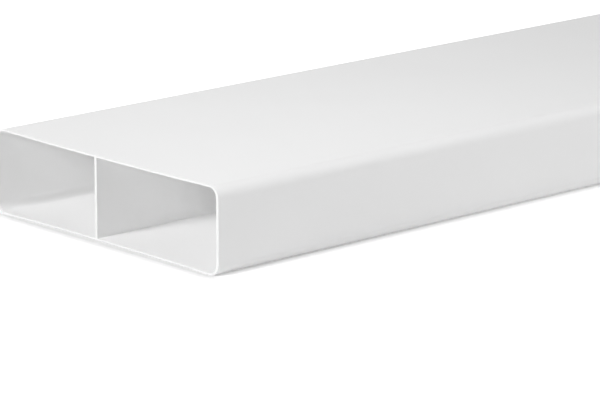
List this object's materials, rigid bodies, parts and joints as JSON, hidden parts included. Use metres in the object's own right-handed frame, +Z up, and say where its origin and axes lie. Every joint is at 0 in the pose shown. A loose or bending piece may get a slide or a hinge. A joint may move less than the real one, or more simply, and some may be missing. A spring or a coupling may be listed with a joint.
{
  "type": "flat channel duct",
  "caption": "Length of flat, wide plastic ventilation duct with rounded long corners, open square-cut ends and an upright inner web that parts the air passage.",
  "frame": {"origin": "middle of the footprint, on the floor that the duct lies on", "axes": "+Y along the length, towards the far end; +X across the width, towards the wider passage; +Z up through the height"},
  "size_m": [0.222, 1, 0.0578],
  "materials": {
    "upvc_white": "satin white, as extruded"
  },
  "bodies": {
    "root": {"duct_channel": "upvc_white"}
  },
  "joints": []
}
